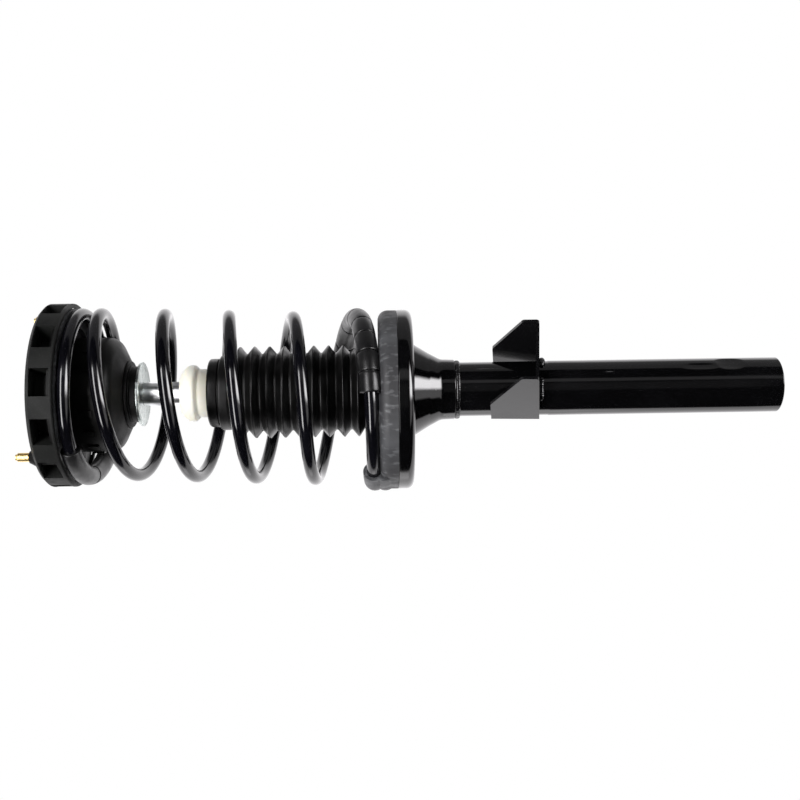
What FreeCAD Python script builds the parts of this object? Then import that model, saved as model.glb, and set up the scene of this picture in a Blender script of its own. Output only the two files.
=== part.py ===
import FreeCAD, Part
import math
import os

from FreeCAD import Vector

# Strut assembly, modelled as it stands in a car: +Z up along the strut axis, origin at the centre
# of the outer tube's lower end.  +X is the side that the index bracket's far ear points to.
# Millimetres and degrees throughout.  The strut is drawn at full extension.

# ---------------------------------------------------------------- driving dimensions
CLAMP_R = 25.4                # sized lower end of the tube, 50.8 mm, clamped in the knuckle
CLAMP_LENGTH = 212.0
TUBE_R = 25.1                 # the rest of the outer tube
TUBE_WALL = 2.1
TUBE_TOP = 430.0
PRESSURE_R = 17.0             # bore of the inner cylinder
PRESSURE_WALL = 1.2
ROD_R = 11.0                  # 22 mm chromed rod
STEM_R = 8.0                  # M16 stem at the rod's upper end
RUN_GAP = 0.03                # radial running clearance on the rod and in the bore
GAP = 0.3                     # clearance between pieces that only lie near each other

WIRE_R = 6.05                 # coil spring wire, 12.1 mm
COIL_R = 74.6                 # mean radius of the coil
COIL_PITCH = 56.9
COIL_TURNS = 5.75
COIL_START_DEG = 180.0        # where the lower wire end lies, from +X towards +Y
COIL_START_Z = 366.9          # height of the untilted helix at its lower end
CLOSING_TURN = 4.4            # above this turn the coil closes to a flat dead turn
DEAD_TURN_Z = 642.0
LEAN_X = 0.038                # lean of the coil planes about Y, per mm from LEAN_X_ZERO
LEAN_X_ZERO = 549.0
LEAN_Y = 0.035                # lean of the coil planes about X, per mm from LEAN_Y_ZERO
LEAN_Y_ZERO = 518.0
SEAT_OFFSET = -8.5            # the lower seat is eccentric along X
OFFSET_END_Z = 603.0          # above this height the spring axis is the strut axis
LOWER_SLEEVE = (0.262, 0.68)  # turns that the lower wire sleeve covers
LOWER_SLEEVE_R = 9.95
UPPER_SLEEVE = (4.86, 5.14)
UPPER_SLEEVE_R = 9.2

SEAT_R = 83.4                 # spring seat pan
SEAT_Z = 338.3
SEAT_H = 14.0
SHEET = 2.7                   # pressed sheet thickness
ISOLATOR_TOP = 369.5
CUP_R = 9.6                   # cup on the isolator that stops the wire's lower end
CUP_SPAN = (-0.028, 0.085)

BOOT_CRESTS = 9
BOOT_CREST_R = 43.3
BOOT_VALLEY_R = 35.0
BOOT_PITCH = 13.7
BOOT_TOP_CREST = 497.5
BOOT_WALL = 1.8
BOOT_COLLAR_TOP = 526.0

BUMP_TOP = 552.5
BUMP_BOTTOM = 502.0
WASHER_Z = 587.2              # shoulder of the rod, underside of the lower mount washer
WASHER_R = 29.8
WASHER_T = 3.2

RIM_R = 85.0                  # mount shell
RIM_BOTTOM = 649.6
MOUNT_TOP = 673.5
RIBS = 12
RIB_DEG = 13.3
WINDOW_Z = (652.4, 669.6)     # windows between the ribs of the rim, and how far in they reach
POCKET_R = 66.0
BOSS_R = 7.0                  # boss round the shank of each stud
FIRST_RIB_DEG = 22.5
DOME_R = 53.0
STUD_R = 4.0                  # M8 thread
SHANK_R = 4.25                # press-fit shank of each stud, below the thread
STUD_CIRCLE_R = 71.8
STUD_DEGS = (11.0, 115.5, 220.0)
STUD_TIP = 693.0
COLLAR_R = 8.2                # tapered collar at the foot of each stud
COLLAR_TOP = 680.4
THREAD_START = 681.0

DIMPLE_DEG = -36.0            # locating dimple pressed in the tube near its lower end
DIMPLE_R = 7.5
DIMPLE_DEPTH = 1.6
DIMPLE_SPAN = (41.0, 52.0)
TAIL_DEG = -45.0              # shallow groove that runs up from it
TAIL_R = 3.0
TAIL_DEPTH = 0.8
TAIL_SPAN = (61.0, 90.0)

BRACKET_Z = 219.6             # web of the index bracket, on the strut axis
BRACKET_DEG = -55.0           # direction that its ears point to
BRACKET_LEAN = -8.5           # lean of its web about X, then about Y
BRACKET_LEAN_Y = 1.0
BRACKET_T = 3.0
EAR_SPREAD = 32.0             # from the strut axis to the middle of each ear
EAR_REACH = 59.8
EAR_LENGTH = 43.8


# ---------------------------------------------------------------- helpers
def rounded_wire(points):
    """Closed wire in the XZ plane from (r, z) or (r, z, corner radius) points."""
    corners = []
    count = len(points)
    for i, point in enumerate(points):
        here = Vector(point[0], 0, point[1])
        before = Vector(points[i - 1][0], 0, points[i - 1][1])
        after = Vector(points[(i + 1) % count][0], 0, points[(i + 1) % count][1])
        radius = point[2] if len(point) > 2 else 0
        if not radius:
            corners.append((here, None, here))
            continue
        back = (before - here).normalize()
        ahead = (after - here).normalize()
        half = back.getAngle(ahead) / 2
        reach = radius / math.tan(half)
        middle = (back + ahead).normalize() * (radius / math.sin(half) - radius)
        corners.append((here + back * reach, here + middle, here + ahead * reach))
    edges = []
    for i, (start, middle, end) in enumerate(corners):
        if middle is not None:
            edges.append(Part.Arc(start, middle, end).toShape())
        following = corners[(i + 1) % count][0]
        if (following - end).Length > 1e-6:
            edges.append(Part.LineSegment(end, following).toShape())
    return Part.Wire(edges)


def turned(points, centre_x=0.0):
    """Solid of revolution about a vertical axis at x = centre_x."""
    face = Part.Face(rounded_wire(points))
    solid = face.revolve(Vector(0, 0, 0), Vector(0, 0, 1), 360)
    solid.translate(Vector(centre_x, 0, 0))
    return solid


def ring(r_in, r_out, z0, z1):
    return turned([(r_in, z0), (r_out, z0), (r_out, z1), (r_in, z1)])


def ring_sector(r_in, r_out, z0, z1, from_deg, span_deg):
    face = Part.Face(rounded_wire([(r_in, z0), (r_out, z0), (r_out, z1), (r_in, z1)]))
    solid = face.revolve(Vector(0, 0, 0), Vector(0, 0, 1), span_deg)
    solid.rotate(Vector(0, 0, 0), Vector(0, 0, 1), from_deg)
    return solid


def disc(radius, z0, z1, centre=(0.0, 0.0)):
    return Part.makeCylinder(radius, z1 - z0, Vector(centre[0], centre[1], z0))


def hexagon(across_flats, z0, z1, bore_r):
    corner_r = across_flats / math.sqrt(3)
    corners = [
        Vector(corner_r * math.cos(math.radians(60 * k)), corner_r * math.sin(math.radians(60 * k)), z0)
        for k in range(7)
    ]
    prism = Part.Face(Part.makePolygon(corners)).extrude(Vector(0, 0, z1 - z0))
    return prism.cut(disc(bore_r, z0 - 1, z1 + 1))


def polar(radius, deg, z=0.0):
    return Vector(radius * math.cos(math.radians(deg)), radius * math.sin(math.radians(deg)), z)


# ---------------------------------------------------------------- coil spring
def coil_height(turn):
    """Height of the wire's centre, and how strongly the coil planes still lean, at a turn."""
    if turn <= CLOSING_TURN:
        return COIL_START_Z + COIL_PITCH * turn, 1.0
    closing_z = COIL_START_Z + COIL_PITCH * CLOSING_TURN
    closing_span = 2 * (DEAD_TURN_Z - closing_z) / COIL_PITCH
    past = min(turn - CLOSING_TURN, closing_span)
    share = past / closing_span
    return closing_z + COIL_PITCH * past * (1 - share / 2), 1.0 - share


def coil_point(turn):
    angle = math.radians(COIL_START_DEG + 360 * turn)
    level, lean = coil_height(turn)
    z = level
    z -= lean * LEAN_X * (LEAN_X_ZERO - level) * math.cos(angle)
    z += lean * LEAN_Y * (LEAN_Y_ZERO - level) * math.sin(angle)
    drop = OFFSET_END_Z - (COIL_START_Z + WIRE_R)
    shift = SEAT_OFFSET * max(0.0, (OFFSET_END_Z - level) / drop)
    return Vector(shift + COIL_R * math.cos(angle), COIL_R * math.sin(angle), z)


def wire_sweep(radius, from_turn, to_turn, steps_per_turn=12):
    """Round bar along the coil's centre line."""
    steps = max(3, math.ceil((to_turn - from_turn) * steps_per_turn))
    points = [coil_point(from_turn + (to_turn - from_turn) * k / steps) for k in range(steps + 1)]
    curve = Part.BSplineCurve()
    curve.interpolate(points)
    start_direction = curve.tangent(curve.FirstParameter)[0]
    section = Part.Wire(Part.Circle(points[0], start_direction, radius).toShape())
    return Part.Wire(curve.toShape()).makePipeShell([section], True, True)


def coil_spring():
    return wire_sweep(WIRE_R, 0.0, COIL_TURNS)


def wire_sleeve(from_turn, to_turn, outer_r):
    margin = 0.02
    bore = wire_sweep(WIRE_R + GAP, from_turn - margin, to_turn + margin)
    return wire_sweep(outer_r, from_turn, to_turn).cut(bore)


# ---------------------------------------------------------------- damper tube and what it holds
def dimple(radius, depth, z0, z1, deg):
    """Capsule that presses a groove with rounded ends into the tube."""
    centre_r = CLAMP_R + radius - depth
    capsule = disc(radius, z0, z1, (centre_r, 0))
    for z in (z0, z1):
        capsule = capsule.fuse(Part.makeSphere(radius, Vector(centre_r, 0, z)))
    capsule.rotate(Vector(0, 0, 0), Vector(0, 0, 1), deg)
    return capsule


def outer_tube():
    inner = TUBE_R - TUBE_WALL
    lip = TUBE_R - 7.0
    tube = turned([
        (inner, 0), (CLAMP_R, 0), (CLAMP_R, CLAMP_LENGTH), (TUBE_R, CLAMP_LENGTH + 0.1),
        (TUBE_R, TUBE_TOP + 1.4, 2.0), (lip, TUBE_TOP + 1.4), (lip, TUBE_TOP), (inner, TUBE_TOP),
    ])
    return tube.cut([
        dimple(DIMPLE_R, DIMPLE_DEPTH, *DIMPLE_SPAN, DIMPLE_DEG),
        dimple(TAIL_R, TAIL_DEPTH, *TAIL_SPAN, TAIL_DEG),
    ])


def bottom_cap():
    inner = TUBE_R - TUBE_WALL - 0.05
    return turned([(0, 1.5), (inner - 6, 1.5, 3), (inner, 4.0, 1.5), (inner, 12), (inner - 3, 12),
                   (inner - 3, 7.5, 2), (0, 5.5)])


def pressure_tube():
    return ring(PRESSURE_R, PRESSURE_R + PRESSURE_WALL, 20.0, 404.0)


def base_valve_body():
    body = turned([(3.1, 12), (PRESSURE_R, 12), (PRESSURE_R + 3, 14), (PRESSURE_R + 3, 19.8),
                   (PRESSURE_R - 0.1, 19.8), (PRESSURE_R - 0.1, 22), (3.1, 22)])
    ports = 6
    for k in range(ports):
        at = polar(12.0, 360 * k / ports)
        body = body.cut(disc(1.8, 11, 23, (at.x, at.y)))
    return body


def base_valve_rivet():
    return turned([(0, 9.5), (6, 9.5, 1), (6, 11.9), (3.0, 11.9), (3.0, 24.3), (10.5, 24.3),
                   (10.5, 25.5), (5, 28, 1.5), (0, 28)])


def intake_plate():
    return ring(8.5, 15.2, 22.15, 22.9)


def rod_guide():
    bore = ROD_R + 1.6
    return turned([(bore, 398), (PRESSURE_R - 0.05, 398, 0.8), (PRESSURE_R - 0.05, 404.1),
                   (TUBE_R - TUBE_WALL - 0.05, 404.1), (TUBE_R - TUBE_WALL - 0.05, 420), (bore, 420)])


def guide_bush():
    return ring(ROD_R + RUN_GAP, ROD_R + 1.55, 399, 419)


def rod_seal():
    outer = TUBE_R - TUBE_WALL - 0.05
    return turned([(ROD_R + RUN_GAP, 422, 0.4), (ROD_R + 3, 420.1), (outer, 420.1), (outer, 427),
                   (ROD_R + 3, 427), (ROD_R + RUN_GAP, 425.5, 0.4)])


def closing_washer():
    return ring(ROD_R + 1.0, TUBE_R - TUBE_WALL - 0.05, 427.1, TUBE_TOP - 0.1)


def striker_cap():
    top = TUBE_TOP + 1.5
    inner = TUBE_R + 0.1
    return turned([(ROD_R + 0.6, top), (inner, top), (inner, 412), (inner + 1.6, 412),
                   (inner + 1.6, top + 2, 1.5), (ROD_R + 0.6, top + 2)])


def spring_seat_pan():
    wall_in = SEAT_R - SHEET
    dish = turned([
        (0, SEAT_Z), (SEAT_R, SEAT_Z, 7.0), (SEAT_R, SEAT_Z + SEAT_H), (wall_in, SEAT_Z + SEAT_H),
        (wall_in, SEAT_Z + SHEET, 4.3), (0, SEAT_Z + SHEET),
    ], SEAT_OFFSET)
    return dish.cut(disc(TUBE_R + 0.1, SEAT_Z - 1, SEAT_Z + SEAT_H + 1))


def seat_collar():
    inner = TUBE_R + 0.05
    return turned([
        (inner, 299.2), (27.7, 299.2, 0.8), (28.2, 312, 12), (34.0, 322.8, 30), (43.5, SEAT_Z),
        (41.0, SEAT_Z), (31.6, 323.6, 30), (inner, 313.4, 12),
    ])


def seat_weld():
    return turned([(TUBE_R + 0.02, 293.6), (26.6, 294.6, 1.2), (28.0, 297.0, 1.0), (27.8, 299.1),
                   (TUBE_R + 0.02, 299.1)])


def lower_isolator():
    """Rubber ring in the seat pan, with the cup that stops the wire's lower end."""
    pan_in = SEAT_R - SHEET - GAP
    lip = SEAT_Z + SEAT_H + GAP
    ring_part = turned([
        (54, SEAT_Z + SHEET + GAP, 3), (pan_in, SEAT_Z + SHEET + GAP, 5), (pan_in, lip),
        (SEAT_R - 0.6, lip), (SEAT_R - 0.6, ISOLATOR_TOP, 9), (54, ISOLATOR_TOP, 3),
    ], SEAT_OFFSET)
    cup = wire_sweep(CUP_R, *CUP_SPAN)
    cup_foot = cup.translated(Vector(0, 0, -CUP_R))
    wire_bed = wire_sweep(WIRE_R + GAP, -0.004, LOWER_SLEEVE[0])
    sleeve_bed = wire_sweep(LOWER_SLEEVE_R + GAP, LOWER_SLEEVE[0] - 0.004, LOWER_SLEEVE[0] + 0.25)
    return ring_part.fuse([cup, cup_foot]).cut([wire_bed, sleeve_bed])


# ---------------------------------------------------------------- bracket on the tube
def placed_on_bracket(shape):
    """Local frame: X out from the tube, Y across the ears, Z along the tube from the web."""
    shape.rotate(Vector(0, 0, 0), Vector(0, 0, 1), BRACKET_DEG)
    shape.rotate(Vector(0, 0, 0), Vector(1, 0, 0), BRACKET_LEAN)
    shape.rotate(Vector(0, 0, 0), Vector(0, 1, 0), BRACKET_LEAN_Y)
    shape.translate(Vector(0, 0, BRACKET_Z))
    return shape


def ear(side):
    base = -2.0
    tip_z = 15.0
    shoulder = 20.5
    face = Part.Face(rounded_wire([
        (base, 0), (EAR_REACH, 0, 3), (EAR_REACH, tip_z, 4), (shoulder, EAR_LENGTH, 3), (base, EAR_LENGTH),
    ]))
    plate = face.extrude(Vector(0, BRACKET_T, 0))
    plate.translate(Vector(0, side * EAR_SPREAD - BRACKET_T / 2, 0))
    return plate


def index_bracket():
    half = EAR_SPREAD + BRACKET_T / 2
    web_in = -4.0
    web_out = 44.0
    corner = 5.0
    web = Part.makeBox(web_out - web_in, 2 * half, BRACKET_T, Vector(web_in, -half, 0))
    corners = [e for e in web.Edges if abs(e.Length - BRACKET_T) < 1e-6 and e.CenterOfMass.x < web_in + 1]
    web = web.makeFillet(corner, corners)
    bracket = placed_on_bracket(web.fuse([ear(-1), ear(1)]).removeSplitter())
    return bracket.cut(disc(TUBE_R + 0.02, BRACKET_Z - 60, BRACKET_Z + 90))


def bracket_welds():
    """Two fillet beads under the web, one on each side of the tube."""
    span = 46.0
    beads = []
    for middle_deg in (-38, 38):
        bead = placed_on_bracket(
            ring_sector(TUBE_R - 2, TUBE_R + 3.2, -4.2, -0.05, middle_deg - span / 2, span))
        beads.append(bead.cut(disc(TUBE_R + 0.02, BRACKET_Z - 60, BRACKET_Z + 60)))
    return Part.makeCompound(beads)


# ---------------------------------------------------------------- boot and bump stop
def dust_boot():
    wall = BOOT_WALL
    outer = [(BOOT_VALLEY_R - 7, 372), (BOOT_VALLEY_R - 4, 380, 2)]
    for k in reversed(range(BOOT_CRESTS)):
        crest_z = BOOT_TOP_CREST - BOOT_PITCH * k
        outer.append((BOOT_CREST_R, crest_z, 1.0))
        outer.append((BOOT_VALLEY_R, crest_z + BOOT_PITCH / 2, 1.2))
    inner = [(r - wall * 1.25, z, 0.6) for r, z, *_ in reversed(outer[2:])]
    collar = [(35.4, 510.5, 2), (35.4, 519.5, 2), (32.2, 520.5, 1), (32.2, BOOT_COLLAR_TOP, 2.5),
              (22.9, BOOT_COLLAR_TOP), (22.9, 509.0)]
    foot = [(BOOT_VALLEY_R - 7, 381), (TUBE_R + GAP, 381), (TUBE_R + GAP, 372)]
    return turned(outer + collar + inner + foot)


def bump_stop():
    return turned([
        (ROD_R + 0.35, BUMP_BOTTOM), (17, BUMP_BOTTOM, 3), (20, 510, 4), (22.6, 517), (22.6, 535.5, 1),
        (26.3, 538.5, 3), (26.3, 545, 6), (18.5, BUMP_TOP, 5), (13.5, BUMP_TOP, 1),
        (ROD_R + 0.35, BUMP_TOP - 2.5),
    ])


# ---------------------------------------------------------------- rod and piston
def piston_rod():
    return turned([
        (0, 364), (6, 364, 0.8), (6, 389.2), (ROD_R, 389.2, 0.6), (ROD_R, WASHER_Z),
        (STEM_R, WASHER_Z), (STEM_R, 664, 1.2), (0, 664),
    ])


def piston():
    body = turned([(6.05, 377), (14.5, 377), (14.5, 379), (16.7, 379), (16.7, 380.5), (15.3, 380.5),
                   (15.3, 386.5), (16.7, 386.5), (16.7, 389), (6.05, 389)])
    ports = 8
    for k in range(ports):
        at = polar(10.8, 360 * k / ports)
        body = body.cut(disc(1.5, 376, 390, (at.x, at.y)))
    return body


def piston_band():
    return ring(15.4, PRESSURE_R - RUN_GAP, 380.7, 386.3)


def valve_shims():
    return Part.makeCompound([
        ring(6.1, 13.2 - 1.4 * k, 376.4 - 0.5 * k, 376.8 - 0.5 * k) for k in range(3)
    ])


def piston_nut():
    return hexagon(17.0, 366.5, 375.2, 6.05)


def rebound_ring():
    return ring(ROD_R + 0.05, 14.6, 389.7, 391.4)


def rebound_stop():
    return turned([(ROD_R + 0.1, 391.6), (15.6, 391.6, 1), (15.6, 397.4, 1), (ROD_R + 0.1, 397.4)])


# ---------------------------------------------------------------- upper mount
def lower_washer():
    top = WASHER_Z + WASHER_T
    return turned([(STEM_R + 0.05, WASHER_Z), (WASHER_R, WASHER_Z, 0.8), (WASHER_R, top, 0.8),
                   (STEM_R + 0.05, top)])


def inner_sleeve():
    return ring(STEM_R + 0.1, 12.0, WASHER_Z + WASHER_T, 640.0)


def mount_bush():
    bottom = WASHER_Z + WASHER_T + 0.1
    return turned([
        (12.05, bottom), (26, bottom, 1.5), (26, 598, 1), (31.0, 598, 1.5), (31.0, 604.2),
        (DOME_R - 3 - GAP, 613.8, 7), (DOME_R - 3 - GAP, 634, 4), (30, 632, 6), (16, 638, 3), (12.05, 638),
    ])


def bush_housing():
    wall = 3.0
    dome = turned([
        (60, 657.4), (60, 655.6), (DOME_R, 655.6), (DOME_R, 611, 12), (32.8, 600.9, 1), (31.4, 600.9),
        (31.4, 604.0), (DOME_R - wall, 613.3, 9), (DOME_R - wall, 657.4),
    ])
    lugs = 16
    for k in range(lugs):
        dome = dome.fuse(ring_sector(DOME_R - 1, DOME_R + 1.4, 624, 634, 360 * k / lugs, 7.0))
    return dome


def upper_cup_washer():
    return turned([(STEM_R + 0.05, 640.1), (22, 640.1), (25.5, 637.6, 1), (26.5, 640.1, 1),
                   (23, 643, 1.5), (STEM_R + 0.05, 643)])


def rod_nut():
    return hexagon(24.0, 643.1, 656.5, STEM_R + 0.05)


def mount_shell():
    """Moulded shell: windowed rim, ribbed top face and three stud bosses."""
    bore = 36.0
    shell = turned([
        (RIM_R - 4, RIM_BOTTOM), (RIM_R, RIM_BOTTOM, 1.2), (RIM_R, MOUNT_TOP - 3.2, 0.8),
        (RIM_R - 3.2, MOUNT_TOP, 0.8), (bore, MOUNT_TOP, 1.5), (bore, 657.6), (60.4, 657.6),
        (60.4, 655.6), (RIM_R - 4, 655.6),
    ])
    pitch = 360.0 / RIBS
    window_deg = pitch - RIB_DEG
    pockets = []
    for k in range(RIBS):
        start = FIRST_RIB_DEG + RIB_DEG / 2 + pitch * k
        pockets.append(ring_sector(POCKET_R, RIM_R + 2, *WINDOW_Z, start, window_deg))
        pockets.append(ring_sector(44, 62, 664, MOUNT_TOP + 1, start - 2, window_deg + 4))
    bosses = []
    stud_holes = []
    for deg in STUD_DEGS:
        at = polar(STUD_CIRCLE_R, deg)
        bosses.append(disc(BOSS_R, 655.6, WINDOW_Z[1] + 0.5, (at.x, at.y)))
        stud_holes.append(disc(SHANK_R + GAP, 650, MOUNT_TOP + 1, (at.x, at.y)))
        stud_holes.append(disc(COLLAR_R + 0.3, MOUNT_TOP - 1, MOUNT_TOP + 1, (at.x, at.y)))
    return shell.cut(pockets).fuse(bosses).cut(stud_holes).removeSplitter()


def stud_plate():
    plate = ring(DOME_R + 0.3, RIM_R - 4.5, 652.6, 655.5)
    for deg in STUD_DEGS:
        at = polar(STUD_CIRCLE_R, deg)
        plate = plate.cut(disc(SHANK_R + 0.05, 650, 660, (at.x, at.y)))
    return plate


def at_each_stud(make):
    pieces = []
    for deg in STUD_DEGS:
        piece = make()
        piece.translate(polar(STUD_CIRCLE_R, deg))
        pieces.append(piece)
    return Part.makeCompound(pieces)


def mount_stud():
    relief_r = STUD_R - 0.5
    point_r = STUD_R - 1.2
    return turned([(0, 652.7), (SHANK_R, 652.7), (SHANK_R, COLLAR_TOP - 1), (relief_r, COLLAR_TOP - 1),
                   (relief_r, THREAD_START), (STUD_R, THREAD_START), (STUD_R, STUD_TIP - 2.0),
                   (point_r, STUD_TIP - 1), (point_r, STUD_TIP), (0, STUD_TIP)])


def stud_collar():
    base = MOUNT_TOP - 0.95
    bore = SHANK_R + 0.1
    return turned([(bore, base), (COLLAR_R, base), (COLLAR_R, MOUNT_TOP + 1.5), (5.4, COLLAR_TOP, 0.5),
                   (bore, COLLAR_TOP)])


def upper_seat_pad():
    return ring_sector(63, RIM_R - 4.5, DEAD_TURN_Z + WIRE_R + GAP, 652.5, 236, 238)


def dust_cap():
    return turned([(0, 671.2), (31.5, 671.2), (31.5, 661), (34.0, 661), (34.0, 670.6), (35.6, 670.6),
                   (35.6, 673.0, 1), (20, 675.6, 10), (0, 675.6)])


# ---------------------------------------------------------------- write one STEP per node
NODES = {
    "outer_tube": outer_tube,
    "bottom_cap": bottom_cap,
    "pressure_tube": pressure_tube,
    "base_valve_body": base_valve_body,
    "base_valve_rivet": base_valve_rivet,
    "intake_valve_plate": intake_plate,
    "rod_guide": rod_guide,
    "guide_bush": guide_bush,
    "rod_seal": rod_seal,
    "closing_washer": closing_washer,
    "striker_cap": striker_cap,
    "spring_seat_pan": spring_seat_pan,
    "seat_collar": seat_collar,
    "seat_weld": seat_weld,
    "lower_isolator": lower_isolator,
    "index_bracket": index_bracket,
    "bracket_welds": bracket_welds,
    "coil_spring": coil_spring,
    "lower_coil_sleeve": lambda: wire_sleeve(*LOWER_SLEEVE, LOWER_SLEEVE_R),
    "upper_coil_sleeve": lambda: wire_sleeve(*UPPER_SLEEVE, UPPER_SLEEVE_R),
    "dust_boot": dust_boot,
    "bump_stop": bump_stop,
    "piston_rod": piston_rod,
    "piston": piston,
    "piston_band": piston_band,
    "valve_shims": valve_shims,
    "piston_nut": piston_nut,
    "rebound_ring": rebound_ring,
    "rebound_stop": rebound_stop,
    "lower_mount_washer": lower_washer,
    "mount_inner_sleeve": inner_sleeve,
    "mount_bush": mount_bush,
    "bush_housing": bush_housing,
    "upper_cup_washer": upper_cup_washer,
    "rod_nut": rod_nut,
    "mount_shell": mount_shell,
    "stud_plate": stud_plate,
    "mount_studs": lambda: at_each_stud(mount_stud),
    "stud_collars": lambda: at_each_stud(stud_collar),
    "upper_seat_pad": upper_seat_pad,
    "dust_cap": dust_cap,
}

os.makedirs("parts", exist_ok=True)
for node, make_node in NODES.items():
    shape = make_node()
    shape.exportStep("parts/" + node + ".step")
    print(f"{node:22s} solids {len(shape.Solids)} valid {shape.isValid()} volume {shape.Volume:10.0f}")
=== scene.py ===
import math
import random

import bpy
import bmesh
import numpy as np
from mathutils import Matrix, Vector


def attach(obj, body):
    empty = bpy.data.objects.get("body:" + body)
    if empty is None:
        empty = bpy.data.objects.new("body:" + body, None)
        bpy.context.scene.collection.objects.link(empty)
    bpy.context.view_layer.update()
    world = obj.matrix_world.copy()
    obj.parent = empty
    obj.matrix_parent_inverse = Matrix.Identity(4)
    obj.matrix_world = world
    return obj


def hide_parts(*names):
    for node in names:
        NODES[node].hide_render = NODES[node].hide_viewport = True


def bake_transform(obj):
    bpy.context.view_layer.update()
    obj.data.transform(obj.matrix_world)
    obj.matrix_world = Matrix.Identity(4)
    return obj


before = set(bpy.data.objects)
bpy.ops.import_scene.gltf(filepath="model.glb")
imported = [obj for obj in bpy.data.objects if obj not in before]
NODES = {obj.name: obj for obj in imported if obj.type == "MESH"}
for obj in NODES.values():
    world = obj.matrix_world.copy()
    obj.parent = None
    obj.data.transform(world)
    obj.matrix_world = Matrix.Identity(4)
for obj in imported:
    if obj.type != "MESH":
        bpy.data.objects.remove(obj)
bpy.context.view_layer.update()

MM = 0.001
TURN_DEG = 360.0

# ------------------------------------------------------------------ sizes shared with the CAD, in mm
CLAMP_R, TUBE_R, TUBE_BORE_R, TUBE_TOP = 25.4, 25.1, 23.0, 431.4
CLAMP_LENGTH = 212.0
PRESSED_ZONE = (28, 100)      # heights between which the tube has pressed marks
DIMPLE = (46.6, 13.5, -36, 20, 1.7)         # middle and half height, middle and half angle, depth
TAIL_GROOVE = (74.5, 18.0, -45, 9.5, 0.75)
BRACKET_Z, BRACKET_DEG = 219.6, -55.0
BRACKET_LEAN_X, BRACKET_LEAN_Y = -8.5, 1.0
WIRE_R, COIL_R, COIL_PITCH, COIL_TURNS = 6.05, 74.6, 56.9, 5.75
COIL_START_DEG, COIL_START_Z = 180.0, 366.9
CLOSING_TURN, DEAD_TURN_Z = 4.4, 642.0
LEAN_X, LEAN_X_ZERO = 0.038, 549.0
LEAN_Y, LEAN_Y_ZERO = 0.035, 518.0
SEAT_OFFSET, OFFSET_END_Z = -8.5, 603.0
LOWER_SLEEVE, LOWER_SLEEVE_R = (0.262, 0.68), 9.95
UPPER_SLEEVE, UPPER_SLEEVE_R = (4.86, 5.14), 9.2
SEAT_R, SEAT_Z, SEAT_H, SHEET = 83.4, 338.3, 14.0, 2.7
BOOT_CRESTS, BOOT_CREST_R, BOOT_VALLEY_R = 9, 43.3, 35.0
BOOT_PITCH, BOOT_TOP_CREST, BOOT_WALL, BOOT_TOP = 13.7, 497.5, 1.8, 526.0
BOOT_FOLLOW = 0.68            # weight towards the rod for the boot's collar, as a share of its travel
ROD_R, STEM_R = 11.0, 8.0
BUMP_TOP, BUMP_BOTTOM = 552.5, 502.0
WASHER_Z, WASHER_R, WASHER_T = 587.2, 29.8, 3.2


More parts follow.
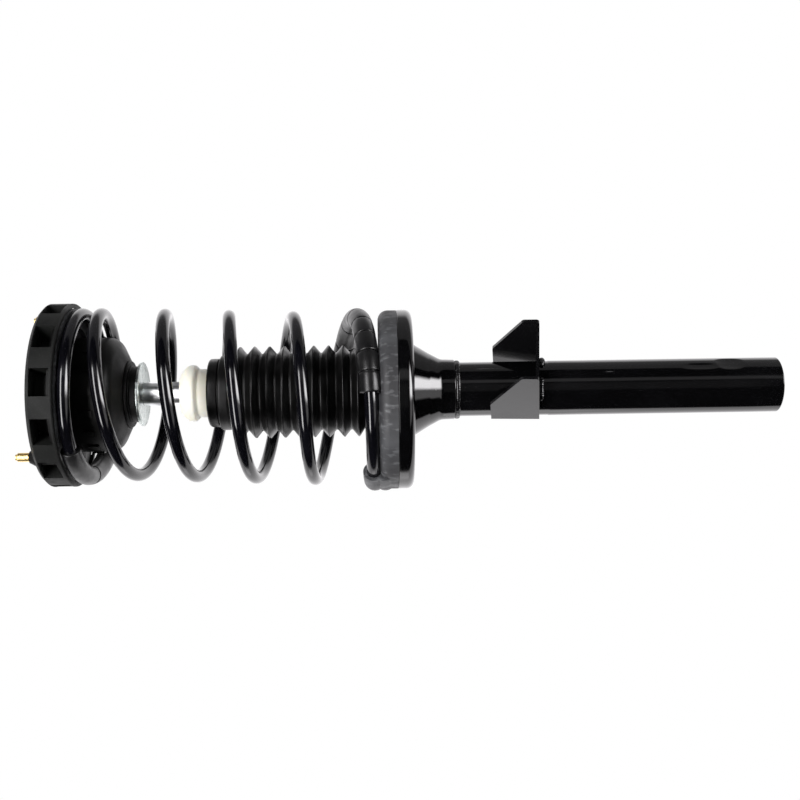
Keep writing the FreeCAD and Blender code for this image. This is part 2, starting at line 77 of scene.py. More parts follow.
# ------------------------------------------------------------------ materials
class Shader:
    """A Principled material built up from procedural nodes in object coordinates."""

    def __init__(self, name, color, rough, metal=0.0, specular=0.5, coat=0.0, coat_rough=0.1):
        self.material = bpy.data.materials.new(name)
        self.material.use_nodes = True
        self.nodes = self.material.node_tree.nodes
        self.links = self.material.node_tree.links
        self.bsdf = self.nodes["Principled BSDF"]
        self.color = color
        self.rough = rough
        self.bsdf.inputs["Base Color"].default_value = (*color, 1)
        self.bsdf.inputs["Roughness"].default_value = rough
        self.bsdf.inputs["Metallic"].default_value = metal
        self.bsdf.inputs["Specular IOR Level"].default_value = specular
        self.bsdf.inputs["Coat Weight"].default_value = coat
        self.bsdf.inputs["Coat Roughness"].default_value = coat_rough
        self.place = self.nodes.new("ShaderNodeTexCoord")
        self.color_out = None
        self.rough_out = None
        self.normal_out = None

    def noise(self, scale, stretch=(1, 1, 1), detail=3.0, offset=(0, 0, 0), contrast=0.5):
        mapping = self.nodes.new("ShaderNodeMapping")
        mapping.inputs["Scale"].default_value = stretch
        mapping.inputs["Location"].default_value = offset
        self.links.new(self.place.outputs["Object"], mapping.inputs["Vector"])
        noise = self.nodes.new("ShaderNodeTexNoise")
        noise.inputs["Scale"].default_value = scale
        noise.inputs["Detail"].default_value = detail
        noise.inputs["Roughness"].default_value = contrast
        self.links.new(mapping.outputs["Vector"], noise.inputs["Vector"])
        return noise.outputs["Fac"]

    def ramp(self, value, low, high, out_low=0.0, out_high=1.0):
        node = self.nodes.new("ShaderNodeMapRange")
        node.inputs["From Min"].default_value = low
        node.inputs["From Max"].default_value = high
        node.inputs["To Min"].default_value = out_low
        node.inputs["To Max"].default_value = out_high
        self.links.new(value, node.inputs["Value"])
        return node.outputs["Result"]

    def tint(self, mask, color):
        """Mixes another colour in where the mask is high."""
        mix = self.nodes.new("ShaderNodeMix")
        mix.data_type = "RGBA"
        self.links.new(mask, mix.inputs["Factor"])
        if self.color_out is None:
            mix.inputs["A"].default_value = (*self.color, 1)
        else:
            self.links.new(self.color_out, mix.inputs["A"])
        mix.inputs["B"].default_value = (*color, 1)
        self.color_out = mix.outputs["Result"]
        return self

    def roughen(self, mask, rough):
        mix = self.nodes.new("ShaderNodeMix")
        mix.data_type = "FLOAT"
        self.links.new(mask, mix.inputs["Factor"])
        if self.rough_out is None:
            mix.inputs["A"].default_value = self.rough
        else:
            self.links.new(self.rough_out, mix.inputs["A"])
        mix.inputs["B"].default_value = rough
        self.rough_out = mix.outputs["Result"]
        return self

    def bump(self, value, depth_mm, strength=1.0):
        node = self.nodes.new("ShaderNodeBump")
        node.inputs["Distance"].default_value = depth_mm * MM
        node.inputs["Strength"].default_value = strength
        self.links.new(value, node.inputs["Height"])
        if self.normal_out is not None:
            self.links.new(self.normal_out, node.inputs["Normal"])
        self.normal_out = node.outputs["Normal"]
        return self

    def angle(self):
        """Azimuth about the strut axis, in radians."""
        split = self.nodes.new("ShaderNodeSeparateXYZ")
        self.links.new(self.place.outputs["Object"], split.inputs["Vector"])
        math_node = self.nodes.new("ShaderNodeMath")
        math_node.operation = "ARCTAN2"
        self.links.new(split.outputs["Y"], math_node.inputs[0])
        self.links.new(split.outputs["X"], math_node.inputs[1])
        return math_node.outputs["Value"]

    def height(self):
        """Height on the strut axis, in metres."""
        split = self.nodes.new("ShaderNodeSeparateXYZ")
        self.links.new(self.place.outputs["Object"], split.inputs["Vector"])
        return split.outputs["Z"]

    def painted_radial_reflection(self, count, seed=0.0):
        """Painted reflection: streaks that run out from the strut axis."""
        join = self.nodes.new("ShaderNodeCombineXYZ")
        join.inputs["Z"].default_value = seed
        self.links.new(self.angle(), join.inputs["X"])
        noise = self.nodes.new("ShaderNodeTexNoise")
        noise.inputs["Scale"].default_value = count
        noise.inputs["Detail"].default_value = 2.0
        self.links.new(join.outputs["Vector"], noise.inputs["Vector"])
        return noise.outputs["Fac"]

    def done(self):
        if self.color_out is not None:
            self.links.new(self.color_out, self.bsdf.inputs["Base Color"])
        if self.rough_out is not None:
            self.links.new(self.rough_out, self.bsdf.inputs["Roughness"])
        if self.normal_out is not None:
            self.links.new(self.normal_out, self.bsdf.inputs["Normal"])
        return self.material


def gloss_paint(name, rough=0.07, color=(0.0012, 0.0012, 0.0014), peel_mm=0.016, offset=(0, 0, 0)):
    """Black dip paint: a little orange peel, dull smears, pale dust and fine scratches."""
    s = Shader(name, color, rough)
    smear = s.ramp(s.noise(22, (1, 1, 0.35), 4, offset), 0.52, 0.72)
    s.roughen(smear, rough + 0.1)
    dust = s.ramp(s.noise(900, (1, 1, 1), 2, offset), 0.74, 0.80)
    s.tint(dust, (0.06, 0.06, 0.062))
    s.tint(s.ramp(s.noise(35, (1, 1, 0.5), 3, offset), 0.45, 0.8), (0.003, 0.003, 0.0035))
    scratch = s.ramp(s.noise(210, (1, 1, 0.07), 2, offset), 0.735, 0.76)
    s.tint(scratch, (0.09, 0.09, 0.09))
    s.bump(s.noise(260, (1, 1, 1), 2, offset), peel_mm)
    s.bump(s.noise(40, (1, 1, 0.6), 2, offset), 0.05)
    return s.done()


def weld_material():
    """Painted bead with bright spatter."""
    s = Shader("painted_weld", (0.002, 0.002, 0.0025), 0.14)
    s.tint(s.ramp(s.noise(600, detail=2), 0.66, 0.72), (0.22, 0.22, 0.22))
    s.roughen(s.noise(120), 0.3)
    s.bump(s.noise(500, detail=2), 0.08)
    return s.done()


def spring_material():
    """Smooth coating with a blue cast and a little dust."""
    s = Shader("spring_coating", (0.0015, 0.0015, 0.0025), 0.1)
    s.roughen(s.ramp(s.noise(60), 0.4, 0.75), 0.19)
    s.tint(s.ramp(s.noise(45, detail=4), 0.4, 0.75), (0.004, 0.004, 0.006))
    s.tint(s.ramp(s.noise(1100, detail=1), 0.74, 0.79), (0.07, 0.07, 0.075))
    s.bump(s.noise(380, detail=2), 0.02)
    return s.done()


def sleeve_material():
    """Dull rubber tube."""
    s = Shader("sleeve_rubber", (0.0035, 0.0035, 0.004), 0.3, specular=0.4)
    s.tint(s.ramp(s.noise(70, detail=4), 0.35, 0.8), (0.008, 0.008, 0.008))
    s.roughen(s.ramp(s.noise(140), 0.35, 0.7), 0.42)
    s.bump(s.noise(900, detail=2), 0.03)
    return s.done()


def isolator_material():
    """Worn rubber with pale streaks."""
    s = Shader("isolator_rubber", (0.02, 0.02, 0.022), 0.45)
    s.tint(s.ramp(s.noise(28, (1, 1, 0.5), 6), 0.4, 0.75), (0.075, 0.078, 0.082))
    s.tint(s.ramp(s.noise(240, (1, 1, 0.4), 4), 0.54, 0.78), (0.14, 0.145, 0.15))
    s.roughen(s.ramp(s.noise(90), 0.3, 0.7), 0.66)
    s.bump(s.noise(420, detail=4), 0.1)
    return s.done()


def boot_material():
    """Satin rubber of the bellows."""
    s = Shader("boot_rubber", (0.0015, 0.0015, 0.0015), 0.3, specular=0.3)
    s.tint(s.ramp(s.noise(60, detail=4), 0.45, 0.8), (0.007, 0.007, 0.007))
    s.roughen(s.ramp(s.noise(75), 0.35, 0.7), 0.48)
    s.bump(s.noise(700, detail=3), 0.03)
    return s.done()


def bush_material():
    """Matt rubber."""
    s = Shader("bush_rubber", (0.002, 0.002, 0.002), 0.45, specular=0.2)
    s.tint(s.ramp(s.noise(65, detail=5), 0.4, 0.8), (0.009, 0.009, 0.0085))
    s.roughen(s.noise(110), 0.6)
    s.bump(s.noise(650, detail=3), 0.05)
    return s.done()


def foam_material():
    """Off-white foam, a little translucent."""
    s = Shader("bump_foam", (0.86, 0.85, 0.75), 0.42)
    s.bsdf.inputs["Subsurface Weight"].default_value = 0.25
    s.bsdf.inputs["Subsurface Radius"].default_value = (1.0, 0.8, 0.5)
    s.bsdf.inputs["Subsurface Scale"].default_value = 0.004
    s.tint(s.ramp(s.noise(45, (1, 1, 0.6), 4), 0.42, 0.78), (0.82, 0.79, 0.63))
    s.tint(s.ramp(s.noise(260, detail=3), 0.6, 0.8), (0.9, 0.89, 0.83))
    s.bump(s.noise(800, detail=3), 0.05)
    return s.done()


def chrome_material():
    """Bright rod, brushed round its girth."""
    s = Shader("chrome_rod", (0.9, 0.91, 0.92), 0.28, 1.0)
    s.roughen(s.ramp(s.noise(900, (0.15, 0.15, 3), 2), 0.4, 0.7), 0.36)
    s.tint(s.ramp(s.noise(30, (1, 1, 0.3), 3), 0.5, 0.8), (0.7, 0.71, 0.73))
    return s.done()


def zinc_material():
    """Zinc plate with painted reflection streaks that run out from the middle."""
    s = Shader("zinc_plate", (0.62, 0.66, 0.64), 0.26, 1.0)
    streaks = s.painted_radial_reflection(7.0)
    # painted reflection: the darker radial streaks stand in for reflections on the plate's face
    s.tint(s.ramp(streaks, 0.4, 0.65), (0.36, 0.41, 0.40))
    s.tint(s.ramp(s.noise(240, detail=4), 0.5, 0.75), (0.72, 0.76, 0.74))
    s.roughen(s.ramp(s.noise(160), 0.35, 0.7), 0.4)
    s.bump(s.noise(300, detail=3), 0.05)
    return s.done()


def gold_material():
    """Yellow zinc plate."""
    s = Shader("yellow_zinc", (0.83, 0.58, 0.22), 0.28, 1.0)
    s.tint(s.ramp(s.noise(420, detail=3), 0.4, 0.7), (0.93, 0.74, 0.34))
    s.roughen(s.noise(500), 0.4)
    s.bump(s.noise(900, detail=2), 0.02)
    return s.done()


def stud_material():
    """Yellow zinc plate, black on the shank below the mount."""
    s = Shader("stud_yellow_zinc", (0.83, 0.58, 0.22), 0.28, 1.0)
    s.tint(s.ramp(s.noise(420, detail=3), 0.4, 0.7), (0.93, 0.74, 0.34))
    s.tint(s.ramp(s.height(), 0.672, 0.670), (0.01, 0.01, 0.01))
    s.roughen(s.noise(500), 0.4)
    return s.done()


def steel_material():
    """Bare steel."""
    s = Shader("bare_steel", (0.42, 0.42, 0.43), 0.3, 1.0)
    s.tint(s.ramp(s.noise(200, (1, 1, 0.2), 3), 0.4, 0.7), (0.3, 0.3, 0.31))
    s.roughen(s.noise(300), 0.42)
    return s.done()


def iron_material():
    """Dark sintered iron."""
    s = Shader("sintered_iron", (0.14, 0.14, 0.145), 0.5, 0.9)
    s.tint(s.ramp(s.noise(1500, detail=2), 0.4, 0.7), (0.09, 0.09, 0.09))
    s.bump(s.noise(1800, detail=2), 0.04)
    return s.done()


def bronze_material():
    """Bush bronze."""
    s = Shader("bronze", (0.5, 0.32, 0.14), 0.3, 1.0)
    s.tint(s.ramp(s.noise(300), 0.4, 0.7), (0.6, 0.42, 0.22))
    return s.done()


def band_material():
    """Brown low-friction band."""
    s = Shader("ptfe_band", (0.12, 0.09, 0.06), 0.45)
    s.tint(s.ramp(s.noise(400), 0.4, 0.7), (0.17, 0.13, 0.09))
    return s.done()


def shell_material():
    """Grey-black moulding with fine grain."""
    s = Shader("mount_moulding", (0.008, 0.0085, 0.008), 0.5, specular=0.16)
    s.tint(s.ramp(s.noise(38, detail=5), 0.38, 0.75), (0.014, 0.0148, 0.0136))
    s.tint(s.ramp(s.noise(1300, detail=2), 0.62, 0.75), (0.035, 0.037, 0.035))
    s.roughen(s.ramp(s.noise(120), 0.35, 0.7), 0.62)
    s.bump(s.noise(1100, detail=3), 0.04)
    return s.done()


def housing_material():
    """Black housing."""
    s = Shader("housing_black", (0.002, 0.002, 0.002), 0.4, specular=0.16)
    s.tint(s.ramp(s.noise(50, detail=5), 0.4, 0.75), (0.006, 0.0063, 0.0057))
    s.roughen(s.ramp(s.noise(100), 0.35, 0.7), 0.55)
    s.bump(s.noise(700, detail=3), 0.05)
    return s.done()


def make_materials():
    return {
        "paint": gloss_paint("gloss_black_paint"),
        "bracket_paint": gloss_paint("bracket_paint", 0.16, (0.004, 0.004, 0.0045), 0.02, (3, 1, 2)),
        "weld": weld_material(),
        "spring": spring_material(),
        "sleeve": sleeve_material(),
        "isolator": isolator_material(),
        "boot": boot_material(),
        "bush": bush_material(),
        "foam": foam_material(),
        "chrome": chrome_material(),
        "zinc": zinc_material(),
        "gold": gold_material(),
        "stud": stud_material(),
        "steel": steel_material(),
        "iron": iron_material(),
        "bronze": bronze_material(),
        "band": band_material(),
        "shell": shell_material(),
        "housing": housing_material(),
    }


# ------------------------------------------------------------------ mesh helpers
def piece(name, verts, faces, material, body, slot, *replaced, smooth_deg=40):
    mesh = bpy.data.meshes.new(name)
    mesh.from_pydata([tuple(np.asarray(v) * MM) for v in verts], [], faces)
    mesh.update()
    bm = bmesh.new()
    bm.from_mesh(mesh)
    bmesh.ops.recalc_face_normals(bm, faces=bm.faces)
    limit = math.radians(smooth_deg)
    for face in bm.faces:
        face.smooth = True
    for edge in bm.edges:
        edge.smooth = len(edge.link_faces) == 2 and edge.calc_face_angle(0) < limit
    bm.to_mesh(mesh)
    bm.free()
    mesh.materials.append(material)
    obj = bpy.data.objects.new(name, mesh)
    bpy.context.scene.collection.objects.link(obj)
    if body:
        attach(obj, body)
    if replaced:
        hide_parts(*replaced)
    return obj


def grid_faces(rows, columns, closed_rows, closed_columns):
    faces = []
    for i in range(rows if closed_rows else rows - 1):
        for j in range(columns if closed_columns else columns - 1):
            a = i * columns + j
            b = i * columns + (j + 1) % columns
            c = ((i + 1) % rows) * columns + (j + 1) % columns
            d = ((i + 1) % rows) * columns + j
            faces.append((a, b, c, d))
    return faces


def rounded(points, arc_steps=7):
    """Closed outline from (r, z) or (r, z, corner radius) points."""
    outline = []
    count = len(points)
    for i, point in enumerate(points):
        here = Vector((point[0], point[1]))
        radius = point[2] if len(point) > 2 else 0
        if not radius:
            outline.append(tuple(here))
            continue
        back = (Vector(points[i - 1][:2]) - here).normalized()
        ahead = (Vector(points[(i + 1) % count][:2]) - here).normalized()
        half = back.angle(ahead) / 2
        centre = here + (back + ahead).normalized() * (radius / math.sin(half))
        reach = radius / math.tan(half)
        start = here + back * reach - centre
        end = here + ahead * reach - centre
        turn = start.angle_signed(end)
        for k in range(arc_steps + 1):
            share = k / arc_steps
            angle = -turn * share
            outline.append(tuple(centre + Vector((
                start.x * math.cos(angle) - start.y * math.sin(angle),
                start.x * math.sin(angle) + start.y * math.cos(angle),
            ))))
    return outline


def divided(outline, longest):
    """Adds points so that no run of the closed outline is longer than longest."""
    result = []
    for i, here in enumerate(outline):
        after = outline[(i + 1) % len(outline)]
        steps = max(1, math.ceil(math.dist(here, after) / longest))
        for k in range(steps):
            share = k / steps
            result.append((here[0] + (after[0] - here[0]) * share, here[1] + (after[1] - here[1]) * share))
    return result


def turned(outline, centre_x=0.0, segments=160, shape=None):
    """Vertices and faces of a closed outline turned about a vertical axis; shape may move each point."""
    verts = []
    for r, z in outline:
        for j in range(segments):
            angle = 2 * math.pi * j / segments
            rr, zz = shape(r, z, angle) if shape else (r, z)
            verts.append((centre_x + rr * math.cos(angle), rr * math.sin(angle), zz))
    return verts, grid_faces(len(outline), segments, True, True)


def solid_turned(outline, segments=160):
    """As turned, for an outline that starts and ends on the axis."""
    verts = [(0, 0, outline[0][1])]
    body = outline[1:-1]
    for r, z in body:
        for j in range(segments):
            angle = 2 * math.pi * j / segments
            verts.append((r * math.cos(angle), r * math.sin(angle), z))
    verts.append((0, 0, outline[-1][1]))
    faces = [tuple(k + 1 for k in f) for f in grid_faces(len(body), segments, False, True)]
    last_ring = 1 + (len(body) - 1) * segments
    for j in range(segments):
        following = (j + 1) % segments
        faces.append((0, 1 + following, 1 + j))
        faces.append((len(verts) - 1, last_ring + j, last_ring + following))
    return verts, faces


def wobble(seed, *amounts):
    """Sum of a few sine waves round a circle, for surfaces that are not perfect."""
    draw = random.Random(seed)
    waves = [(n + 1, a, draw.uniform(0, 2 * math.pi)) for n, a in enumerate(amounts)]
    return lambda angle: sum(a * math.sin(n * angle + phase) for n, a, phase in waves)


# ------------------------------------------------------------------ spring and its sleeves
def coil_point(turn):
    angle = math.radians(COIL_START_DEG + TURN_DEG * turn)
    level, lean = COIL_START_Z + COIL_PITCH * turn, 1.0
    if turn > CLOSING_TURN:
        closing_z = COIL_START_Z + COIL_PITCH * CLOSING_TURN
        closing_span = 2 * (DEAD_TURN_Z - closing_z) / COIL_PITCH
        past = min(turn - CLOSING_TURN, closing_span)
        level = closing_z + COIL_PITCH * past * (1 - past / closing_span / 2)
        lean = 1.0 - past / closing_span
    z = level
    z -= lean * LEAN_X * (LEAN_X_ZERO - level) * math.cos(angle)
    z += lean * LEAN_Y * (LEAN_Y_ZERO - level) * math.sin(angle)
    shift = SEAT_OFFSET * max(0.0, (OFFSET_END_Z - level) / (OFFSET_END_Z - COIL_START_Z - WIRE_R))
    return Vector((shift + COIL_R * math.cos(angle), COIL_R * math.sin(angle), z))


def coil_frame(turn):
    small = 1e-3
    at = coil_point(turn)
    along = (coil_point(turn + small) - coil_point(turn - small)).normalized()
    out = Vector((math.cos(math.radians(COIL_START_DEG + TURN_DEG * turn)),
                  math.sin(math.radians(COIL_START_DEG + TURN_DEG * turn)), 0))
    out = (out - along * out.dot(along)).normalized()
    return at, out, along.cross(out)


def coil_rings(stations, sides):
    """Rings about the coil's centre line, one for each (turn, radius) station."""
    verts = []
    for turn, radius in stations:
        at, out, up = coil_frame(turn)
        for j in range(sides):
            a = 2 * math.pi * j / sides
            verts.append(at + out * (radius * math.cos(a)) + up * (radius * math.sin(a)))
    return verts


def spring_share(turn):
    """Weight towards the rod for the wire at a turn: its height share up the coil, from 0 to 1."""
    share = (coil_point(turn).z - COIL_START_Z) / (DEAD_TURN_Z - COIL_START_Z)
    return min(1.0, max(0.0, share))


def bend_with_spring(obj, weights):
    """Bakes the piece's world transform into its mesh; the weights are not used."""
    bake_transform(obj)


def make_spring(mats):
    sides = 28
    per_turn = 90
    chamfer = 0.9
    ring_length = 2 * math.pi * COIL_R
    count = int(per_turn * COIL_TURNS)
    stations = [(COIL_TURNS * k / count, WIRE_R) for k in range(count + 1)]
    stations[0] = (0.0, WIRE_R - chamfer)
    stations.insert(1, (chamfer / ring_length, WIRE_R))
    stations[-1] = (COIL_TURNS - chamfer / ring_length, WIRE_R)
    stations.append((COIL_TURNS, WIRE_R - chamfer))
    verts = coil_rings(stations, sides)
    faces = grid_faces(len(stations), sides, False, True)
    faces.append(tuple(range(sides)))
    last = (len(stations) - 1) * sides
    faces.append(tuple(last + k for k in range(sides)))
    obj = piece("spring_coil", verts, faces, mats["spring"], None, "spring_coating", "coil_spring")
    bend_with_spring(obj, [spring_share(turn) for turn, _ in stations for _ in range(sides)])


def banded_stations(start, end, bands, outer_r, gap_mm, groove_mm, swell=0.0):
    """Stations along a sleeve of rubber bands with a groove between each two."""
    length = 2 * math.pi * COIL_R
    step = 1.2 / length
    round_mm = 0.9
    edges = [start, *bands, end]
    stations = []
    for first, last in zip(edges, edges[1:]):
        a = first + gap_mm / 2 / length
        b = last - gap_mm / 2 / length
        edge = [(0, groove_mm), (0.15, round_mm * 0.6), (0.5, round_mm * 0.2), (1, 0)]
        stations += [(a + share * round_mm / length, outer_r - drop) for share, drop in edge]
        inner = np.arange(a + 1.6 * round_mm / length, b - 1.5 * round_mm / length, step)
        middle = (a + b) / 2
        half = (b - a) / 2
        stations += [(t, outer_r + swell * (1 - ((t - middle) / half) ** 2)) for t in inner]
        stations += [(b - share * round_mm / length, outer_r - drop) for share, drop in reversed(edge)]
    return stations


def make_sleeve(name, node, stations, mats):
    sides = 40
    inner_r = WIRE_R + 0.12
    start, end = stations[0][0], stations[-1][0]
    back = [(t, inner_r) for t in np.linspace(end, start, max(8, int((end - start) * 60)))]
    loop = stations + back
    verts = coil_rings(loop, sides)
    faces = grid_faces(len(loop), sides, True, True)
    obj = piece(name, verts, faces, mats["sleeve"], None, "sleeve_rubber", node)
    bend_with_spring(obj, [spring_share(turn) for turn, _ in loop for _ in range(sides)])


def make_sleeves(mats):
    start, end = LOWER_SLEEVE
    joints = [0.299, 0.337, 0.378, 0.42, 0.475, 0.55, 0.62]
    lower = banded_stations(start, end, joints, LOWER_SLEEVE_R - 0.15, 0.7, 1.6, 0.12)
    make_sleeve("lower_sleeve_bands", "lower_coil_sleeve", lower, mats)
    start, end = UPPER_SLEEVE
    upper = banded_stations(start, end, [(start + end) / 2], UPPER_SLEEVE_R - 0.1, 1.6, 2.2, 0.1)
    make_sleeve("upper_sleeve_bands", "upper_coil_sleeve", upper, mats)


# ------------------------------------------------------------------ damper tube, seat and boot
def press(z, deg, z_mid, z_half, deg_mid, deg_half, depth):
    """Depth of a smooth pressed dimple at a point of the tube."""
    away = abs((z - z_mid) / z_half) ** 2.6 + abs((deg - deg_mid) / deg_half) ** 2.6
    return depth * max(0.0, 1 - away) ** 1.3


def make_tube(mats):
    def shape(r, z, angle):
        if r > CLAMP_R - 0.5 and PRESSED_ZONE[0] < z < PRESSED_ZONE[1]:
            deg = (math.degrees(angle) + 180) % 360 - 180
            r -= press(z, deg, *DIMPLE)
            r -= press(z, deg, *TAIL_GROOVE)
        return r, z

    outline = rounded([
        (TUBE_BORE_R, 0.8), (TUBE_BORE_R + 0.6, 0), (CLAMP_R, 0, 1.1), (CLAMP_R, PRESSED_ZONE[0]),
        (CLAMP_R, PRESSED_ZONE[1]), (CLAMP_R, CLAMP_LENGTH), (TUBE_R, CLAMP_LENGTH + 1.0),
        (TUBE_R, TUBE_TOP, 2.0), (18.4, TUBE_TOP), (18.4, TUBE_TOP - 1.4), (TUBE_BORE_R, TUBE_TOP - 1.4),
    ])
    dense = []
    for i, here in enumerate(outline):
        after = outline[(i + 1) % len(outline)]
        on_clamp = min(here[0], after[0]) > CLAMP_R - 0.1
        fine = on_clamp and PRESSED_ZONE[0] - 1 < min(here[1], after[1]) < PRESSED_ZONE[1] - 1
        steps = 72 if fine else max(1, math.ceil(math.dist(here, after) / 30))
        dense += [(here[0] + (after[0] - here[0]) * k / steps, here[1] + (after[1] - here[1]) * k / steps)
                  for k in range(steps)]
    verts, faces = turned(dense, segments=240, shape=shape)
    piece("damper_tube", verts, faces, mats["paint"], "damper_body", "gloss_black_paint", "outer_tube")


def make_pan(mats):
    wall_in = SEAT_R - SHEET
    edge = wobble(4, 0.1, 0.12, 0.05, 0.03)

    def shape(r, z, angle):
        return r + (edge(angle) if r > 60 else 0), z

    outline = rounded([
        (TUBE_R + 0.1, SEAT_Z), (SEAT_R - 0.3, SEAT_Z, 6.8), (SEAT_R - 0.3, SEAT_Z + SEAT_H, 0.7),
        (wall_in, SEAT_Z + SEAT_H, 0.7), (wall_in, SEAT_Z + SHEET, 4.3), (TUBE_R + 0.1, SEAT_Z + SHEET),
    ])
    verts, faces = turned(outline, SEAT_OFFSET, 240, shape)
    near_bore = CLAMP_R + 6
    verts = [(x - SEAT_OFFSET, y, z) if math.hypot(x - SEAT_OFFSET, y) < near_bore else (x, y, z)
             for x, y, z in verts]  # the bore stays on the strut axis
    piece("seat_pan", verts, faces, mats["paint"], "damper_body", "gloss_black_paint", "spring_seat_pan")


def make_collar(mats):
    inner = TUBE_R + 0.05
    outline = rounded([
        (inner, 299.2), (27.7, 299.2, 0.8), (28.2, 312, 12), (34.0, 322.8, 30), (43.5, SEAT_Z),
        (41.0, SEAT_Z), (31.6, 323.6, 30), (inner, 313.4, 12),
    ], 12)
    verts, faces = turned(outline, 0, 200)
    piece("seat_cone", verts, faces, mats["paint"], "damper_body", "gloss_black_paint", "seat_collar")


def bead_ring(name, node, middle_r, middle_z, half_r, half_z, mats, from_deg=0.0, span=360.0, seed=2,
              ripple=0.16, on_bracket=False):
    """Weld bead: an oval section swept round the tube, with the scallops of the weld pool."""
    draw = random.Random(seed)
    closed = span >= 360
    steps = int(span * 0.9)
    sides = 14
    pitch = 2 * math.pi * middle_r * span / 360 / 1.9
    verts = []
    uneven = wobble(seed, 0.1, 0.08, 0.07, 0.05, 0.05, 0.04)
    for i in range(steps if closed else steps + 1):
        share = i / steps
        angle = math.radians(from_deg + span * share)
        pool = abs(math.sin(math.pi * share * pitch))
        swell = 1 + uneven(angle * 3) + ripple * (pool - 0.5) + draw.uniform(-0.03, 0.03)
        if not closed:
            swell *= min(1.0, 0.35 + 9 * min(share, 1 - share))
        for j in range(sides):
            a = 2 * math.pi * j / sides
            r = middle_r + half_r * swell * math.cos(a)
            z = middle_z + half_z * swell * math.sin(a)
            verts.append((r * math.cos(angle), r * math.sin(angle), z))
    if on_bracket:
        tilt = (Matrix.Rotation(math.radians(BRACKET_LEAN_Y), 3, "Y")
                @ Matrix.Rotation(math.radians(BRACKET_LEAN_X), 3, "X"))
        verts = [tilt @ Vector(v) + Vector((0, 0, BRACKET_Z)) for v in verts]
    faces = grid_faces(steps if closed else steps + 1, sides, closed, True)
    if not closed:
        faces.append(tuple(range(sides)))
        faces.append(tuple(steps * sides + k for k in range(sides)))
    return piece(name, verts, faces, mats["weld"], "damper_body", "painted_weld", *node)


def make_welds(mats):
    bead_ring("seat_weld_bead", ["seat_weld"], TUBE_R + 0.7, 297.0, 1.4, 2.2, mats, seed=5)
    size = (TUBE_R + 1.2, -1.9, 2.1, 2.3)
    first = bead_ring("bracket_bead_a", [], *size, mats, BRACKET_DEG - 61, 46, 11, 0.2, True)
    bead_ring("bracket_bead_b", [], *size, mats, BRACKET_DEG + 15, 46, 12, 0.2, True)
    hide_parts("bracket_welds")


def make_boot(mats):
    wall = BOOT_WALL
    outer = [(BOOT_VALLEY_R - 7, 372), (BOOT_VALLEY_R - 4, 380, 2)]
    for k in reversed(range(BOOT_CRESTS)):
        crest_z = BOOT_TOP_CREST - BOOT_PITCH * k
        outer.append((BOOT_CREST_R, crest_z, 1.1))
        outer.append((BOOT_VALLEY_R, crest_z + BOOT_PITCH / 2, 1.6))
    outer[-1] = (BOOT_VALLEY_R - 1.6, BOOT_TOP_CREST + 6.2, 1.2)
    inner = [(r - wall * 1.25, z, 0.6) for r, z, *_ in reversed(outer[2:-1])]
    collar = [(34.7, 507.0, 1.2), (34.7, 515.0, 1.4), (30.6, 515.4, 0.4), (30.6, 516.4, 0.4),
              (31.8, 516.9, 0.7), (31.8, BOOT_TOP, 2.5),
              (22.9, BOOT_TOP, 0.8), (22.9, 509.0)]
    foot = [(BOOT_VALLEY_R - 7, 381), (TUBE_R + 0.3, 381), (TUBE_R + 0.3, 372)]
    outline = divided(rounded(outer + collar + inner + foot, 6), 3.2)
    draw = random.Random(17)
    tilts = {k: (draw.uniform(-0.35, 0.35), draw.uniform(0, 2 * math.pi)) for k in range(-2, 14)}

    def shape(r, z, angle):
        fold = int(round((z - 380) / BOOT_PITCH))
        tilt, phase = tilts.get(fold, (0, 0))
        loose = 1 if 384 < z < 504 else 0
        return r + 0.12 * loose * math.sin(3 * angle + phase), z + loose * tilt * math.cos(angle + phase)

    verts, faces = turned(outline, 0, 150, shape)
    obj = piece("bellows_boot", verts, faces, mats["boot"], None, "boot_rubber", "dust_boot", smooth_deg=55)
    bottom, top = 380.0, 512.0
    weights = [BOOT_FOLLOW * min(1.0, max(0.0, (v[2] - bottom) / (top - bottom))) for v in verts]
    bend_with_spring(obj, weights)


def make_bump_stop(mats):
    bore = ROD_R + 0.35
    outline = rounded([
        (bore, BUMP_BOTTOM), (17, BUMP_BOTTOM, 3), (20, 510, 4), (22.6, 517, 3), (22.6, 535.5, 2.2),
        (26.3, 539.0, 3.2), (26.3, 545.5, 6.5), (18.5, BUMP_TOP, 5), (13.5, BUMP_TOP, 1.0),
        (bore, BUMP_TOP - 2.5, 0.5),
    ], 10)
    edge = wobble(21, 0.06, 0.08, 0.05)

    def shape(r, z, angle):
        return (r + edge(angle) if r > 15 else r), z

    verts, faces = turned(outline, 0, 150, shape)
    piece("bump_stop_foam", verts, faces, mats["foam"], "bump_stop_body", "bump_foam", "bump_stop",
          smooth_deg=60)


def make_rod(mats):
    foot_z, shoulder_z, tip_z = 364, 389.2, 664
    side = rounded([
        (6, foot_z, 0.8), (6, shoulder_z), (ROD_R, shoulder_z, 0.6), (ROD_R, WASHER_Z, 0.3),
        (STEM_R, WASHER_Z), (STEM_R, tip_z, 1.2), (0, tip_z), (0, foot_z),
    ])
    outline = [(0, foot_z), *side[:-2], (0, tip_z)]
    verts, faces = solid_turned(outline, 120)
    piece("polished_rod", verts, faces, mats["chrome"], "rod_assembly", "chrome_rod", "piston_rod")


def make_washer(mats):
    top = WASHER_Z + WASHER_T
    outline = rounded([
        (STEM_R + 0.1, WASHER_Z), (WASHER_R - 2.2, WASHER_Z, 1.0), (WASHER_R, WASHER_Z + 0.7, 0.5),
        (WASHER_R, top, 0.9), (STEM_R + 0.1, top),
    ])
    verts, faces = turned(divided(outline, 8.0), 0, 160)
    piece("mount_washer", verts, faces, mats["zinc"], "rod_assembly", "zinc_plate", "lower_mount_washer")


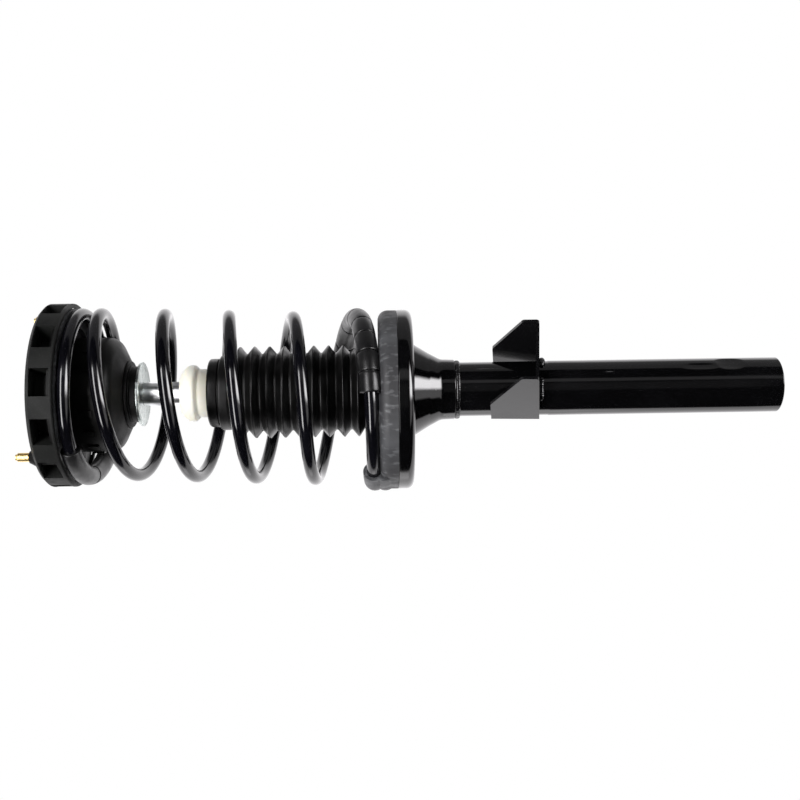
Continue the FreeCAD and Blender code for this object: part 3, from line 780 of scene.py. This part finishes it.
# ------------------------------------------------------------------ CAD nodes that stay
CAD_FINISH = {
    "paint": ["bottom_cap"],
    "bracket_paint": ["index_bracket"],
    "steel": ["pressure_tube", "base_valve_rivet", "intake_valve_plate", "closing_washer", "valve_shims",
              "piston_nut", "rebound_ring", "mount_inner_sleeve"],
    "iron": ["base_valve_body", "rod_guide", "piston"],
    "bronze": ["guide_bush"],
    "band": ["piston_band"],
    "bush": ["rod_seal", "rebound_stop", "mount_bush"],
    "isolator": ["lower_isolator", "upper_seat_pad"],
    "zinc": ["striker_cap", "upper_cup_washer"],
    "gold": ["rod_nut"],
    "stud": ["mount_studs"],
    "housing": ["bush_housing", "stud_plate", "stud_collars", "dust_cap"],
    "shell": ["mount_shell"],
}


def finish_cad(mats):
    for finish, names in CAD_FINISH.items():
        for name in names:
            node = NODES[name]
            for slot in node.material_slots:
                slot.material = mats[finish]


# ------------------------------------------------------------------ studio
# Each panel: degrees round the strut axis from the camera's side towards +X, degrees up the axis,
# softness of its edge, brightness.
PANELS = [
    (81, 200, -90, 90, 2.0, 0.28),
    (132, 200, -90, 90, 8.0, 1.1),
    (-200, -106, -90, 90, 3.0, 1.5),
    (-122, -104, -12, 14, 4.0, 0.9),
    (25, 38, -32, 26, 2.5, 0.42),
    (-10, 20, -22, 12, 5.0, 0.1),
    (-45, 36, 22, 40, 3.0, 13.0),
    (4, 50, -78, -40, 9.0, 18.0),
    (-40, 4, -78, -40, 6.0, 1.5),
]
FILL = 0.012


def make_world():
    """White behind everything for the camera; reflections see the panels instead."""
    world = bpy.data.worlds.new("studio")
    bpy.context.scene.world = world
    world.use_nodes = True
    nodes, links = world.node_tree.nodes, world.node_tree.links
    nodes.clear()

    def math_node(operation, *values):
        node = nodes.new("ShaderNodeMath")
        node.operation = operation
        for k, value in enumerate(values):
            if isinstance(value, (int, float)):
                node.inputs[k].default_value = value
            else:
                links.new(value, node.inputs[k])
        return node.outputs["Value"]

    def edge(value, start, end):
        node = nodes.new("ShaderNodeMapRange")
        node.interpolation_type = "SMOOTHSTEP"
        node.inputs["From Min"].default_value = start
        node.inputs["From Max"].default_value = end
        links.new(value, node.inputs["Value"])
        return node.outputs["Result"]

    def window(value, low, high, soft):
        rise = edge(value, low - soft, low + soft)
        fall = edge(value, high + soft, high - soft)
        return math_node("MULTIPLY", rise, fall)

    coords = nodes.new("ShaderNodeTexCoord")
    split = nodes.new("ShaderNodeSeparateXYZ")
    links.new(coords.outputs["Generated"], split.inputs["Vector"])
    side = math_node("ARCTAN2", split.outputs["X"], math_node("MULTIPLY", split.outputs["Y"], -1.0))
    side = math_node("MULTIPLY", side, 180 / math.pi)
    along = math_node("MULTIPLY", math_node("ARCSINE", split.outputs["Z"]), 180 / math.pi)
    total = None
    for side_low, side_high, along_low, along_high, soft, level in PANELS:
        across = window(side, side_low, side_high, soft)
        lengthwise = window(along, along_low, along_high, soft)
        patch = math_node("MULTIPLY", math_node("MULTIPLY", across, lengthwise), level)
        total = patch if total is None else math_node("ADD", total, patch)
    soft_light = nodes.new("ShaderNodeBackground")
    soft_light.inputs["Color"].default_value = (1.0, 0.985, 1.0, 1)
    links.new(math_node("ADD", total, FILL), soft_light.inputs["Strength"])
    plain = nodes.new("ShaderNodeBackground")
    plain.inputs["Color"].default_value = (1, 1, 1, 1)
    rays = nodes.new("ShaderNodeLightPath")
    mix = nodes.new("ShaderNodeMixShader")
    links.new(rays.outputs["Is Camera Ray"], mix.inputs["Fac"])
    links.new(soft_light.outputs["Background"], mix.inputs[1])
    links.new(plain.outputs["Background"], mix.inputs[2])
    output = nodes.new("ShaderNodeOutputWorld")
    links.new(mix.outputs["Shader"], output.inputs["Surface"])


def make_floor():
    mesh = bpy.data.meshes.new("floor")
    half, back_y, z = 1.6, 0.5, -0.30
    corners = [(-half, -half, z), (half, -half, z), (half, back_y, z), (-half, back_y, z)]
    mesh.from_pydata(corners, [], [(0, 1, 2, 3)])
    floor = bpy.data.objects.new("floor", mesh)
    bpy.context.scene.collection.objects.link(floor)
    s = Shader("floor_paper", (0.88, 0.88, 0.88), 0.8)
    s.tint(s.ramp(s.noise(3, detail=2), 0.3, 0.7), (0.9, 0.9, 0.9))
    mesh.materials.append(s.done())
    floor.visible_glossy = False


def make_camera():
    data = bpy.data.cameras.new("camera")
    data.sensor_width = 36.0
    data.lens = 49.5
    data.shift_x = 0.03
    data.clip_start, data.clip_end = 0.05, 30
    camera = bpy.data.objects.new("camera", data)
    bpy.context.scene.collection.objects.link(camera)
    roll = math.radians(0.89)
    right = Vector((-math.sin(roll), 0, -math.cos(roll)))
    up = Vector((math.cos(roll), 0, -math.sin(roll)))
    back = right.cross(up)
    matrix = camera.matrix_world.to_3x3()
    matrix.col[0], matrix.col[1], matrix.col[2] = right, up, back
    camera.matrix_world = matrix.to_4x4()
    camera.location = (-0.0088, -1.025, 0.372)
    bpy.context.scene.camera = camera


def main():
    mats = make_materials()
    finish_cad(mats)
    make_spring(mats)
    make_sleeves(mats)
    make_tube(mats)
    make_pan(mats)
    make_collar(mats)
    make_welds(mats)
    make_boot(mats)
    make_bump_stop(mats)
    make_rod(mats)
    make_washer(mats)
    make_world()
    make_floor()
    make_camera()
    bpy.context.scene.view_settings.view_transform = "Standard"


main()
